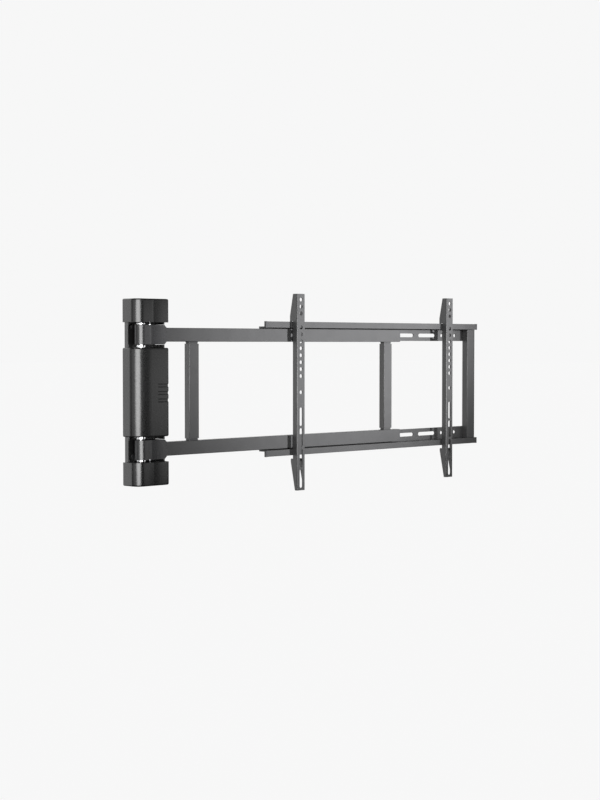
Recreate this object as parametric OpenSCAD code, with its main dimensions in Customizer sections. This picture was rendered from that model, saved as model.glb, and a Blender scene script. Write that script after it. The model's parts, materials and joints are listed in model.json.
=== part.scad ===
// Motorised swing mount for a flat television, shown folded flat against the wall.
// Frame: X runs right along the wall, the wall is the plane Y = 0 with the room on the -Y side,
// and Z is up. The origin is the centre of the wall screw holes, on the wall plate's back face.
// Depths are written as f, the distance out from the wall, so f = -Y.

/* [Column] */
// Width of the column covers
col_w = 85; // [82:1:92]
// Depth of the column covers out from the wall
col_d = 45; // [44:0.5:50]
// Height of the whole column
col_h = 373; // [368:1:400]
// Height of each end cap
cap_h = 47; // [44:0.5:52]
// Height of the motor housing
housing_h = 177.6; // [172:0.2:180]
// Radius of the big front corner on the hinge side
corner_r = 19; // [14:0.5:20]
// Radius of the small front corner on the arm side
edge_r = 8; // [3:0.5:10]
// Radius of the housing corner on the hinge side
swell_r = 22; // [20:0.5:24]
// Radius of the broad curve in the front of the housing
front_curve_r = 73; // [65:1:80]
// Wall thickness of the plastic covers
cover_t = 2.4; // [2:0.1:3]

/* [Wall plate] */
// Sheet thickness of the steel wall plate
plate_t = 3; // [2.5:0.5:4]
// Distance between the two columns of wall holes
wall_hole_x = 38; // [34:1:42]
// Distance between the wall holes, top to bottom
wall_hole_z = 330; // [324:1:340]
// Diameter of the wall holes
wall_hole_d = 8; // [6:0.5:9]

/* [Hinge] */
// Hinge axis, in from the side of the column
hinge_in = 27; // [26:0.5:28]
// Hinge axis, out from the wall
hinge_out = 24; // [23.5:0.5:24.5]
// Diameter of the drive shaft
shaft_d = 14; // [12:1:14]
// Height of each swing hub
hub_h = 39.2; // [38:0.2:39.6]
// Radius of the round end of the hub
hub_r = 13.5; // [12.5:0.5:14]
// Length of the hub from the hinge axis
hub_len = 55; // [50:1:56]

/* [Arms] */
// Length of the arms from the hinge axis
arm_reach = 751; // [740:1:800]
// Height of the arm tube
arm_h = 28; // [24:1:30]
// Depth of the arm tube
arm_d = 17.5; // [15:0.5:18]
// Front face of the arms, out from the wall
arm_front = 35; // [34:0.5:36]
// Height of the arm centre lines above and below the middle
arm_z = 115; // [114:0.5:117]
// Width of the upright posts
post_w = 26; // [20:1:30]
// Depth of the upright posts
post_d = 15.5; // [12:0.5:16]

/* [TV rails] */
// Length of the rails without their end caps
rail_len = 695.4; // [694:0.2:710]
// Left end of the rails, right of the origin
rail_x = 311.8; // [300:0.1:325]
// Half of the height over both rail lips
rail_top = 144.5; // [143:0.5:147]
// Height of the rail lips
lip_h = 13.2; // [11:0.2:14]
// Sheet thickness of the rails
rail_t = 2.5; // [2:0.1:3]
// Front face of the rail lips, out from the wall
lip_front = 39; // [38:0.5:40]
// Length of the adjusting slots
slot_len = 59.4; // [56:0.2:62]
// Width of the adjusting slots
slot_w = 8.5; // [8.5:0.1:9]

/* [TV brackets] */
// Height of the brackets
bracket_h = 425; // [420:1:440]
// Width of the brackets
bracket_w = 24; // [22:1:28]
// Front face of the brackets, out from the wall
bracket_front = 53; // [52:0.5:56]
// Sheet thickness of the brackets
bracket_t = 2.2; // [2:0.1:2.6]
// Distance between the two brackets
bracket_gap = 491.5; // [400:0.5:500]
// Middle of the left bracket, right of the origin
bracket_x = 400.2; // [390:0.1:470]
// Height of the pattern centre hole
pattern_z = -8; // [-12:0.5:-4]
// Diameter of the screw holes for the television
tv_hole_d = 8.6; // [8:0.1:9]

/* [Drive] */
// Gear module
gear_m = 1; // [1:0.05:1.05]
// Teeth on the shaft gear
gear_teeth = 32; // [28:2:32]
// Teeth on the motor pinion
pinion_teeth = 20; // [16:4:20]
// Diameter of the motor
motor_d = 29; // [24:1:30]

/* [Hidden] */
$fn = 48;
gap = 0.3;
eps = 0.5;

curve_x = -3;
curve_blend = 20;
cap_z0 = col_h / 2 - cap_h;
cap_z1 = col_h / 2;
housing_z = housing_h / 2;
hub_z0 = arm_z - hub_h / 2;
hub_z1 = arm_z + hub_h / 2;
hinge_x = -col_w / 2 + hinge_in;
hub_x1 = hinge_x + hub_len;
hub_front = hinge_out + hub_r;
hub_back = hinge_out - hub_r;

plate_x0 = -col_w / 2 + 5;
plate_x1 = col_w / 2 - 6.4;
plate_z = col_h / 2 - cover_t - 1.5;
left_flange_f = 10.5;
right_flange_f = 35;
spare_hole_z = 130;
plug_r = 5.6;
plug_t = 1.6;

block_x0 = plate_x0 + plate_t + 0.2;
block_x1 = plate_x1 - plate_t - 0.2;
block_f1 = 38;
block_h = 12;
outer_block_z0 = cap_z0 - 0.5;
inner_block_z1 = housing_z - cover_t - 0.4;
shaft_r = shaft_d / 2;
bush_r = shaft_r + 3;
running_fit = 0.05;
washer_r = 10;

arm_x0 = hub_x1 - 28;
arm_x1 = hinge_x + arm_reach;
arm_back = arm_front - arm_d;
arm_wall = 2;
arm_in = arm_z - arm_h / 2;
post_f1 = arm_front - 1;
post_f0 = post_f1 - post_d;
post_tab = 4;
post_wall = 2;
inner_post_x = 101.4;
outer_post_x = 683.5;

web_f1 = arm_back - gap;
web_f0 = web_f1 - rail_t;
web_in = 103.4;
lip_in = rail_top - lip_h;
slot_z = 116.5;
slot_pitch = 76.4;
first_slot_x = rail_x + 49.7;
slot_count = 7;
rail_hole_x = [rail_x + 591.5, rail_x + 639.2];
clamp_slots = [1, 4];
end_post_w = 27.6;
end_post_x = rail_x + rail_len - end_post_w;
end_post_f1 = 33.5;
end_cap_w = 4;

row_low = [-200, -185, -170, -140, -125, -110, -95, -80, -65, -50, -35, 0];
tv_slot_len = 40.6;
tv_slot_pitch = 44.7;
tv_slot_z = -53;
hook_f0 = 30.5;
flange_f0 = lip_front + 0.6;
hook_z1 = rail_top + 12;
hook_z0 = lip_in + 3.5;
tail_z1 = -rail_top - 7.5;
tail_f0 = 32.8;
hook_top_depth = 13;
tail_end_depth = 7.2;

gear_z0 = 44;
gear_t = 9;
gear_r = gear_m * gear_teeth / 2;
pinion_r = gear_m * pinion_teeth / 2;
motor_x = hinge_x + gear_r + pinion_r;
gearbox_z0 = gear_z0 - 26;
motor_z0 = gearbox_z0 - 62;
board_x = plate_x1 - plate_t - 5;

// Screws and small parts of the wall unit.
block_mid = [outer_block_z0 + block_h / 2, inner_block_z1 - block_h / 2];
block_screw_z = [-block_mid[0], -block_mid[1], block_mid[1], block_mid[0]];
block_screw_x = [block_x0 + 7, block_x1 - 7];
cover_screw_z = [-cap_z1 + 22, -52, 52, cap_z1 - 22];
cover_screw_f = 12;
inlet_x = 14;
inlet_f = 22;
inlet_r = 5.5;
groove_mid_z = -1.5;
groove_pitch = 14.9;
groove_depth = 1.4;
groove_floor = 5.6;
groove_x = 11.5;
groove_f = 26;
board_z = [-72, 12];
board_f = [6, 34];
board_t = 1.6;
lead_x = block_x1 - 1.6;
lead_f = plate_t + 1.5;
lead_r = 1.2;
motor_lead_r = 0.9;
shaft_z = outer_block_z0 + block_h + 5;
clip_z = outer_block_z0 + block_h + 0.6;

// Involute gears.
pressure = 20;
backlash = 0.2;
flank_steps = 5;

// Fasteners of the swing frame and the rails.
stop_x = hinge_x + 18.5;
stop_f = hinge_out + 5;
hub_screw_x = [arm_x0 + 7, arm_x0 + 20];
clamp_x = [for (k = clamp_slots) first_slot_x + k * slot_pitch + slot_len / 2];
nut_r = 5.5;
bolt_r = 3;
washer_f = [web_f0 - gap - 1.6, web_f0 - gap];
end_post_screw_x = [end_post_x + 7, end_post_x + end_post_w - 7];

// Bracket ends, bend and lock screw.
bracket_z1 = pattern_z + bracket_h / 2;
bracket_z0 = pattern_z - bracket_h / 2;
bend_r = 2.6;
near_end_depth = 3.2;
near_top_depth = 4.6;
near_tail_f0 = 36;
near_ear_f0 = 37.4;
near_f0 = bracket_front - 8.4;
lock_f = 37.5;
lock_r = 2.5;

// ---- shared shapes --------------------------------------------------------------------

// Box given by its limits along the wall (x), out from the wall (f) and in height (z).
module block(x, f, z) {
    translate([x[0], -f[1], z[0]])
        cube([x[1] - x[0], f[1] - f[0], z[1] - z[0]]);
}

// Upright round bar at a place x, f.
module rod_z(x, f, r, z) {
    translate([x, -f, z[0]])
        cylinder(r = r, h = z[1] - z[0]);
}

// Round bar pointing out from the wall.
module rod_f(x, z, r, f) {
    translate([x, -f[0], z])
        rotate([90, 0, 0])
            cylinder(r = r, h = f[1] - f[0]);
}

// Round bar along the wall.
module rod_x(f, z, r, x) {
    translate([x[0], -f, z])
        rotate([0, 90, 0])
            cylinder(r = r, h = x[1] - x[0]);
}

// Slot with round ends, long along the wall.
module slot_f(x, z, r, f) {
    rod_f(x[0] + r, z, r, f);
    rod_f(x[1] - r, z, r, f);
    block([x[0] + r, x[1] - r], f, [z - r, z + r]);
}

// Slot with round ends, long in height.
module tall_slot(x, z, r, f) {
    rod_f(x, z[0] + r, r, f);
    rod_f(x, z[1] - r, r, f);
    block([x - r, x + r], f, [z[0] + r, z[1] - r]);
}

// Both the shape and its copy mirrored below the middle.
module above_and_below() {
    children();
    mirror([0, 0, 1])
        children();
}

module lower_only() {
    mirror([0, 0, 1])
        children();
}

// Plan outline of the column covers, drawn inwards by an inset.
module cover_outline(inset) {
    x1 = col_w / 2 - inset;
    f1 = col_d - inset;
    rl = corner_r - inset;
    rr = edge_r - inset;
    translate([-x1 + rl, -f1 + rl])
        circle(r = rl);
    translate([x1 - rr, -f1 + rr])
        circle(r = rr);
    translate([-x1, -f1 + rl])
        square([2 * x1, f1 - rl]);
    translate([-x1 + rl, -f1])
        square([2 * x1 - rl - rr, f1]);
    translate([-x1 + rl, -f1 + rr])
        square([2 * x1 - rl, f1 - rr]);
}

module cover_solid(inset, z) {
    translate([0, 0, z[0]])
        linear_extrude(z[1] - z[0])
            cover_outline(inset);
}

// Plan outline of the motor housing: its front flows into the hinge side in a broad curve.
module housing_outline(inset) {
    x1 = col_w / 2 - inset;
    f1 = col_d - inset;
    curve_f = col_d - front_curve_r;
    corner_x = -col_w / 2 + swell_r;
    reach = corner_x - swell_r * sin(curve_blend);
    reach_f = curve_f + sqrt(pow(front_curve_r, 2) - pow(reach - curve_x, 2));
    corner_f = reach_f - swell_r * cos(curve_blend);
    intersection() {
        translate([corner_x, -corner_f])
            circle(r = swell_r - inset);
        translate([-x1, -f1])
            square([2 * x1, f1]);
    }
    intersection() {
        translate([curve_x, -curve_f])
            circle(r = front_curve_r - inset);
        translate([reach, -f1])
            square([curve_x - reach, f1]);
    }
    translate([x1 - edge_r + inset, -f1 + edge_r - inset])
        circle(r = edge_r - inset);
    translate([-x1, -corner_f])
        square([2 * x1, corner_f]);
    translate([curve_x - eps, -f1])
        square([x1 - edge_r + inset - curve_x + eps, f1]);
    translate([curve_x - eps, -f1 + edge_r - inset])
        square([x1 - curve_x + eps, f1 - edge_r + inset]);
}

module housing_solid(inset, z) {
    translate([0, 0, z[0]])
        linear_extrude(z[1] - z[0])
            housing_outline(inset);
}

// Round lead through a list of [x, f, z] points.
module lead(points, r) {
    for (k = [0:len(points) - 2]) {
        a = points[k];
        d = points[k + 1] - a;
        translate([a[0], -a[1], a[2]])
            rotate([0, acos(d[2] / norm(d)), atan2(-d[1], d[0])])
                cylinder(r = r, h = norm(d));
    }
    for (k = [1:len(points) - 2])
        translate([points[k][0], -points[k][1], points[k][2]])
            sphere(r = r + 0.05);
}

// ---- wall unit ------------------------------------------------------------------------

module wall_plate() {
    color("#2b2b2d")
        difference() {
            union() {
                block([plate_x0, plate_x1], [0, plate_t], [-plate_z, plate_z]);
                block([plate_x0, plate_x0 + plate_t], [0, left_flange_f], [-plate_z, plate_z]);
                block([plate_x1 - plate_t, plate_x1], [0, right_flange_f], [-plate_z, plate_z]);
            }
            above_and_below()
                block([plate_x1 - plate_t - 1, plate_x1 + 1], [5, right_flange_f + 1],
                    [hub_z0 - eps, hub_z1 + eps]);
            for (x = [-1, 1] * wall_hole_x / 2)
                for (z = [-wall_hole_z / 2, -spare_hole_z, spare_hole_z, wall_hole_z / 2])
                    rod_f(x, z, wall_hole_d / 2, [-1, plate_t + 1]);
            for (z = block_screw_z)
                for (x = block_screw_x) {
                    rod_f(x, z, 2.55, [-1, plate_t + 1]);
                    rod_f(x, z, 4.6, [-1, 1.6]);
                }
            for (z = cover_screw_z)
                rod_x(cover_screw_f, z, 1.6, [plate_x1 - plate_t - 1, plate_x1 + 1]);
        }
}

// Metal cross block that carries one bush; z0 is its lower face above the middle.
// The notch beside the wall plate lets the inlet lead pass.
module pivot_block(z0) {
    difference() {
        intersection() {
            block([block_x0, block_x1], [plate_t, block_f1], [z0, z0 + block_h]);
            housing_solid(cover_t + gap, [z0 - 1, z0 + block_h + 1]);
        }
        rod_z(hinge_x, hinge_out, bush_r, [z0 - 1, z0 + block_h + 1]);
        for (x = block_screw_x)
            rod_f(x, z0 + block_h / 2, 2.55, [plate_t - 1, plate_t + 14]);
        block([block_x1 - 3.4, block_x1 + 1], [plate_t - 1, plate_t + 3.6],
            [z0 - 1, z0 + block_h + 1]);
    }
}

module top_pivot_block() {
    color("#3a3a3c")
        pivot_block(outer_block_z0);
}

module upper_inner_pivot_block() {
    color("#3a3a3c")
        pivot_block(inner_block_z1 - block_h);
}

module lower_inner_pivot_block() {
    color("#3a3a3c")
        lower_only()
            pivot_block(inner_block_z1 - block_h);
}

module bottom_pivot_block() {
    color("#3a3a3c")
        lower_only()
            pivot_block(outer_block_z0);
}

module bush(z0) {
    difference() {
        rod_z(hinge_x, hinge_out, bush_r, [z0, z0 + block_h]);
        rod_z(hinge_x, hinge_out, shaft_r + running_fit, [z0 - 1, z0 + block_h + 1]);
    }
}

module pivot_bushes() {
    color("#9a7b45")
        above_and_below() {
            bush(outer_block_z0);
            bush(inner_block_z1 - block_h);
        }
}

module pivot_block_screws() {
    color("#8d9094")
        for (z = block_screw_z)
            for (x = block_screw_x) {
                rod_f(x, z, 2.5, [0.2, plate_t + 12]);
                rod_f(x, z, 4.4, [0.2, 1.5]);
            }
}

// Moulded end cap, closed at its outer end and at the wall.
module end_cap() {
    difference() {
        cover_solid(0, [cap_z0, cap_z1]);
        cover_solid(cover_t, [cap_z0 - 1, cap_z1 - cover_t]);
        block([-col_w / 2 + cover_t, col_w / 2 - cover_t], [-1, cover_t + 1],
            [cap_z0 - 1, cap_z1 - cover_t]);
        rod_x(cover_screw_f, cap_z1 - 22, 1.6, [plate_x1, col_w / 2 + 1]);
        rod_x(cover_screw_f, cap_z1 - 22, 3, [col_w / 2 - 1, col_w / 2 + 1]);
    }
}

module top_cap() {
    color("#1e1e20")
        end_cap();
}

module bottom_cap() {
    color("#1e1e20")
        difference() {
            lower_only()
                end_cap();
            rod_z(inlet_x, inlet_f, inlet_r + 0.1, [-cap_z1 - 1, -cap_z1 + cover_t + 1]);
        }
}

// Section of a finger groove: its first number is the distance out from the middle of a
// bend of radius r, its second is the height.
function groove_section(r) = [
    for (p = [[-groove_depth, -1], [-groove_depth, 1], [1, 1], [1, -1]])
        [r + p[0], p[1] * (groove_floor / 2 + groove_depth + p[0])]
];

// Finger groove along the front that runs round the corner onto the side.
module grip_groove(z) {
    turn_x = col_w / 2 - edge_r;
    turn_f = col_d - edge_r;
    translate([groove_x, 0, z])
        rotate([90, 0, 90])
            linear_extrude(turn_x - groove_x)
                polygon([for (p = groove_section(col_d)) [-p[0], p[1]]]);
    translate([0, -groove_f, z])
        rotate([90, 0, 0])
            linear_extrude(turn_f - groove_f)
                polygon(groove_section(col_w / 2));
    intersection() {
        translate([turn_x, -turn_f, z])
            rotate_extrude()
                polygon(groove_section(edge_r));
        block([turn_x, col_w], [turn_f, 2 * col_d], [z - groove_pitch / 2, z + groove_pitch / 2]);
    }
}

module motor_housing() {
    color("#1e1e20")
        difference() {
            housing_solid(0, [-housing_z, housing_z]);
            housing_solid(cover_t, [-housing_z + cover_t, housing_z - cover_t]);
            block([-col_w / 2 + cover_t, col_w / 2 - cover_t], [-1, cover_t + 1],
                [-housing_z + cover_t, housing_z - cover_t]);
            above_and_below()
                block([plate_x0 - 0.3, plate_x1 + 0.3], [-1, right_flange_f + 0.3],
                    [housing_z - cover_t - 1, housing_z + 1]);
            for (k = [-1:1])
                grip_groove(groove_mid_z + k * groove_pitch);
            above_and_below() {
                rod_x(cover_screw_f, 52, 1.6, [plate_x1, col_w / 2 + 1]);
                rod_x(cover_screw_f, 52, 3, [col_w / 2 - 1, col_w / 2 + 1]);
            }
            rod_z(hinge_x, hinge_out, washer_r + 1, [-housing_z - 1, housing_z + 1]);
        }
}

module cover_screws() {
    color("#8d9094")
        for (z = cover_screw_z) {
            rod_x(cover_screw_f, z, 1.5, [plate_x1 - plate_t - 2, col_w / 2 - 0.9]);
            rod_x(cover_screw_f, z, 2.8, [col_w / 2 - 0.9, col_w / 2 - 0.1]);
        }
}

module motor() {
    color("#b9bcc0")
        union() {
            rod_z(motor_x, hinge_out, motor_d / 2, [motor_z0, gearbox_z0]);
            rod_z(motor_x, hinge_out, motor_d / 5, [motor_z0 - 4, motor_z0]);
            block([motor_x - 6, motor_x - 4], [hinge_out - 2, hinge_out + 2],
                [motor_z0 - 7, motor_z0]);
            block([motor_x + 4, motor_x + 6], [hinge_out - 2, hinge_out + 2],
                [motor_z0 - 7, motor_z0]);
        }
}

module gearbox() {
    color("#d2d3d4")
        difference() {
            union() {
                rod_z(motor_x, hinge_out, motor_d / 2 - 0.8, [gearbox_z0, gear_z0 - 5]);
                rod_z(motor_x, hinge_out, 6, [gear_z0 - 5, gear_z0 - 3]);
            }
            rod_z(motor_x, hinge_out, 3 + running_fit, [gear_z0 - 14, gear_z0]);
            for (a = [45:90:315])
                rod_z(motor_x + 9.5 * cos(a), hinge_out + 9.5 * sin(a), 1.5,
                    [gear_z0 - 12, gear_z0]);
        }
}

// Angle bracket that holds the gearbox to the wall plate.
module motor_bracket() {
    color("#6f7276")
        difference() {
            union() {
                block([motor_x - 15.5, motor_x + 15.5], [plate_t, hinge_out + 14],
                    [gear_z0 - 5, gear_z0 - 3]);
                block([motor_x - 15.5, motor_x + 15.5], [plate_t, plate_t + 2],
                    [gear_z0 - 23, gear_z0 - 3]);
            }
            rod_z(motor_x, hinge_out, 6.1, [gear_z0 - 6, gear_z0 - 2]);
            for (a = [45:90:315])
                rod_z(motor_x + 9.5 * cos(a), hinge_out + 9.5 * sin(a), 1.6,
                    [gear_z0 - 6, gear_z0 - 2]);
            for (x = [-10, 10])
                rod_f(motor_x + x, gear_z0 - 16, 2.1, [plate_t - 1, plate_t + 3]);
        }
}

module motor_screws() {
    color("#8d9094") {
        for (a = [45:90:315])
            translate([motor_x + 9.5 * cos(a), -hinge_out - 9.5 * sin(a), 0]) {
                translate([0, 0, gear_z0 - 10])
                    cylinder(r = 1.45, h = 7);
                translate([0, 0, gear_z0 - 3])
                    cylinder(r = 2.6, h = 1.6);
            }
        for (x = [-10, 10]) {
            rod_f(motor_x + x, gear_z0 - 16, 2, [plate_t + 0.1, plate_t + 2]);
            rod_f(motor_x + x, gear_z0 - 16, 3.6, [plate_t + 2, plate_t + 4.4]);
        }
    }
}

module control_board() {
    color("#1f5a38")
        difference() {
            block([board_x, board_x + board_t], board_f, board_z);
            for (z = [board_z[0] + 4, board_z[1] - 4])
                for (f = [board_f[0] + 4, board_f[1] - 4])
                    rod_x(f, z, 1.6, [board_x - 1, board_x + board_t + 1]);
        }
}

module board_parts() {
    color("#3b3d42") {
        for (z = [-71, -58])
            block([board_x - 8, board_x], [8, 20], [z, z + 11]);
        for (f = [25, 30.5])
            rod_x(f, -60, 2.5, [board_x - 9, board_x]);
        block([board_x - 1.5, board_x], [12, 24], [-36, -24]);
        block([board_x - 1.5, board_x], [14, 19], [-16, -10]);
        block([board_x - 5, board_x], [6.5, 11], [-14, 2]);
    }
}

module board_standoffs() {
    color("#c9b25a")
        for (z = [board_z[0] + 4, board_z[1] - 4])
            for (f = [board_f[0] + 4, board_f[1] - 4])
                rod_x(f, z, 2.6, [board_x + board_t, plate_x1 - plate_t]);
}

// Two lever switches on the wall plate that stop the motor at the ends of the swing.
module limit_switches() {
    color("#4a4b4f")
        for (x = [block_x0 + 1, motor_x + 1])
            difference() {
                union() {
                    block([x, x + 12], [plate_t, plate_t + 6], [57, 67]);
                    block([x + 4, x + 8], [plate_t + 6, plate_t + 8], [60, 64]);
                }
                for (dx = [2.5, 9.5])
                    rod_f(x + dx, 65, 1.1, [plate_t - 1, plate_t + 7]);
            }
}

// Low-voltage inlet in the underside; its lead is not part of the mount.
module power_inlet() {
    color("#141415")
        difference() {
            union() {
                rod_z(inlet_x, inlet_f, inlet_r, [-cap_z1 + 0.3, -cap_z1 + 14]);
                rod_z(inlet_x, inlet_f, inlet_r + 2, [-cap_z1 + cover_t, -cap_z1 + cover_t + 2]);
            }
            difference() {
                rod_z(inlet_x, inlet_f, 3.2, [-cap_z1, -cap_z1 + 11]);
                rod_z(inlet_x, inlet_f, 1.05, [-cap_z1 + 1, -cap_z1 + 12]);
            }
        }
}

// Black plugs that close the spare wall holes beside the hubs.
module hole_plugs() {
    color("#19191a")
        for (x = [-1, 1] * wall_hole_x / 2)
            for (z = [-1, 1] * spare_hole_z)
                difference() {
                    union() {
                        rod_f(x, z, wall_hole_d / 2 - 0.05, [0.4, plate_t]);
                        rod_f(x, z, plug_r, [plate_t, plate_t + plug_t]);
                    }
                    rod_f(x, z, plug_r - 2.4, [plate_t + plug_t - 0.8, plate_t + plug_t + 1]);
                }
}

// Lead from the inlet up behind the lower hub to the connector of the board.
module inlet_lead() {
    color("#141415")
        lead([
            [inlet_x, inlet_f, -cap_z1 + 14.3], [inlet_x + 0.8, inlet_f - 0.8, -cap_z1 + 20],
            [lead_x, lead_f, -outer_block_z0 - block_h - 4], [lead_x, lead_f, -46],
            [board_x - 2.5, lead_f, -36], [board_x - 2, lead_f + 4, -26],
            [board_x - 2.5, lead_f + 4.2, -14.2]
        ], lead_r);
}

// The two leads between the relays and the motor's terminals.
module motor_leads() {
    color("#7d2a22") {
        lead([
            [board_x - 8.9, 16, -66], [motor_x + 6, 20, -62], [motor_x + 5, hinge_out, -57],
            [motor_x + 5, hinge_out, motor_z0 - 7]
        ], motor_lead_r);
        lead([
            [board_x - 8.9, 12, -55], [motor_x + 3.5, 14, -60], [motor_x - 5, hinge_out, -58],
            [motor_x - 5, hinge_out, motor_z0 - 7]
        ], motor_lead_r);
    }
}

// ---- swing frame ----------------------------------------------------------------------

module drive_shaft() {
    color("#c4c6c8")
        difference() {
            rod_z(hinge_x, hinge_out, shaft_r, [-shaft_z, shaft_z]);
            above_and_below()
                difference() {
                    rod_z(hinge_x, hinge_out, shaft_r + 1, [clip_z, clip_z + 1.5]);
                    rod_z(hinge_x, hinge_out, shaft_r - 1.2, [clip_z - 1, clip_z + 3]);
                }
        }
}

module shaft_clips() {
    color("#55585c")
        above_and_below()
            difference() {
                rod_z(hinge_x, hinge_out, shaft_r + 3, [clip_z + 0.1, clip_z + 1.3]);
                rod_z(hinge_x, hinge_out, shaft_r - 1.15, [clip_z - 1, clip_z + 3]);
                block([hinge_x - 4, hinge_x + 4], [hinge_out, hinge_out + 14],
                    [clip_z - 1, clip_z + 3]);
            }
}

// Point on an involute of a base circle, after unrolling through t degrees.
function involute(rb, t) =
    let (a = t * PI / 180)
    [rb * (cos(t) + a * sin(t)), rb * (sin(t) - a * cos(t))];
function turned(p, a) = [p[0] * cos(a) - p[1] * sin(a), p[0] * sin(a) + p[1] * cos(a)];
// Unrolling angle at which the involute reaches radius r.
function unroll(rb, r) = r <= rb ? 0 : sqrt(pow(r / rb, 2) - 1) * 180 / PI;
function involute_lead(rb, r) = unroll(rb, r) - atan(unroll(rb, r) * PI / 180);

// One side of a tooth that points along +X; side is 1 or -1.
function flank(n, side) =
    let (
        r = gear_m * n / 2,
        rb = r * cos(pressure),
        half = 90 / n - backlash / (2 * r) * 180 / PI + involute_lead(rb, r),
        end = unroll(rb, r + gear_m * 0.95)
    )
    [for (k = [0:flank_steps])
        let (p = turned(involute(rb, end * k / flank_steps), -half))
        [p[0], side * p[1]]];

function tooth(n) =
    let (up = flank(n, 1), down = flank(n, -1), root = gear_m * (n / 2 - 1.25))
    concat(
        [turned([root, 0], -90 / n)],
        up,
        [for (k = [flank_steps:-1:0]) down[k]],
        [turned([root, 0], 90 / n)]
    );

module gear(n, bore_r, z) {
    translate([0, 0, z[0]])
        linear_extrude(z[1] - z[0])
            difference() {
                polygon([for (k = [0:n - 1]) each [for (p = tooth(n)) turned(p, k * 360 / n)]]);
                circle(r = bore_r);
            }
}

module drive_gear() {
    color("#a8862f")
        translate([hinge_x, -hinge_out, 0]) {
            gear(gear_teeth, shaft_r + 0.01, [gear_z0, gear_z0 + gear_t]);
            difference() {
                translate([0, 0, gear_z0 + gear_t])
                    cylinder(r = shaft_r + 4, h = 8);
                translate([0, 0, gear_z0])
                    cylinder(r = shaft_r + 0.01, h = 30);
                translate([0, 0, gear_z0 + gear_t + 4])
                    rotate([0, 90, 0])
                        cylinder(r = 1.5, h = 14);
            }
        }
}

// Polished washers that fill the gaps between the hubs and the pivot blocks.
module thrust_washers() {
    color("#d8dadc")
        above_and_below() {
            washer([hub_z1 + 0.05, outer_block_z0 - 0.1]);
            washer([inner_block_z1 + 0.1, hub_z0 - 0.05]);
        }
}

module washer(z) {
    difference() {
        rod_z(hinge_x, hinge_out, washer_r, z);
        rod_z(hinge_x, hinge_out, shaft_r + 0.02, [z[0] - 1, z[1] + 1]);
    }
}

// Polished pin in the outer face of each hub that meets the block at full swing.
module stop_pins() {
    color("#d8dadc")
        above_and_below()
            rod_z(stop_x, stop_f, 2.5, [hub_z1 - 8, hub_z1 + 3.6]);
}

// Forged hub: a round knuckle on the shaft that becomes a socket for the arm.
module hub() {
    difference() {
        union() {
            rod_z(hinge_x, hinge_out, hub_r, [hub_z0, hub_z1]);
            block([hinge_x, hub_x1], [hub_back, hub_front], [hub_z0, hub_z1]);
        }
        rod_z(hinge_x, hinge_out, shaft_r + 0.02, [hub_z0 - 1, hub_z1 + 1]);
        rod_z(stop_x, stop_f, 2.52, [hub_z1 - 8, hub_z1 + 1]);
        for (z = [hub_z0, hub_z1])
            translate([hub_x1, -hinge_out, z])
                rotate([0, 45, 0])
                    cube([7.4, 2 * hub_r + 2, 7.4], center = true);
        block([arm_x0 - 0.1, hub_x1 + 1], [arm_back - 0.05, arm_front + 0.05],
            [arm_in - 0.05, arm_in + arm_h + 0.05]);
        for (x = hub_screw_x)
            rod_f(x, arm_z, 2.6, [hub_back - 1, arm_back + 1]);
        for (x = hub_screw_x)
            rod_f(x, arm_z, 4.6, [hub_back - 1, hub_back + 3.5]);
    }
}

module upper_hub() {
    color("#242426")
        hub();
}

module lower_hub() {
    color("#242426")
        lower_only()
            hub();
}

module hub_screws() {
    color("#8d9094")
        above_and_below()
            for (x = hub_screw_x) {
                rod_f(x, arm_z, 2.5, [hub_back + 0.4, arm_back + arm_wall + 3]);
                rod_f(x, arm_z, 4.4, [hub_back + 0.4, hub_back + 3.5]);
            }
}

// Rectangular tube with round outer edges.
module arm_tube() {
    r = 1.5;
    difference() {
        union() {
            block([arm_x0, arm_x1], [arm_back + r, arm_front - r], [arm_in, arm_in + arm_h]);
            block([arm_x0, arm_x1], [arm_back, arm_front], [arm_in + r, arm_in + arm_h - r]);
            for (f = [arm_back + r, arm_front - r])
                for (z = [arm_in + r, arm_in + arm_h - r])
                    rod_x(f, z, r, [arm_x0, arm_x1]);
        }
        block([arm_x0 - 1, arm_x1 + 1], [arm_back + arm_wall, arm_front - arm_wall],
            [arm_in + arm_wall, arm_in + arm_h - arm_wall]);
        for (x = hub_screw_x)
            rod_f(x, arm_z, 2.55, [arm_back - 1, arm_back + arm_wall + 1]);
        for (x = clamp_x)
            rod_f(x, slot_z, nut_r, [arm_back - 1, arm_back + arm_wall + 1]);
    }
}

module upper_arm() {
    color("#262628")
        arm_tube();
}

module lower_arm() {
    color("#262628")
        lower_only()
            arm_tube();
}

// Upright tube between the arms, short of them by the height of its tabs.
module upright(x, w, f0, f1, z1) {
    r = 1.2;
    difference() {
        union() {
            block([x + r, x + w - r], [f0, f1], [-z1, z1]);
            block([x, x + w], [f0 + r, f1 - r], [-z1, z1]);
            for (cx = [x + r, x + w - r])
                for (f = [f0 + r, f1 - r])
                    rod_z(cx, f, r, [-z1, z1]);
        }
        block([x + post_wall, x + w - post_wall], [f0 + post_wall, f1 - post_wall],
            [-z1 - 1, z1 + 1]);
    }
}

module inner_post() {
    color("#2c2c2e")
        upright(inner_post_x, post_w, post_f0, post_f1, arm_in - post_tab);
}

module outer_post() {
    color("#2c2c2e")
        upright(outer_post_x, post_w, post_f0, post_f1, arm_in - post_tab);
}

// Solid tongues that plug the posts and weld them to the arms.
module post_tabs() {
    color("#1a1a1b")
        above_and_below()
            for (x = [inner_post_x, outer_post_x])
                block([x + post_wall, x + post_w - post_wall],
                    [post_f0 + post_wall, post_f1 - post_wall], [arm_in - post_tab - 10, arm_in]);
}

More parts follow.
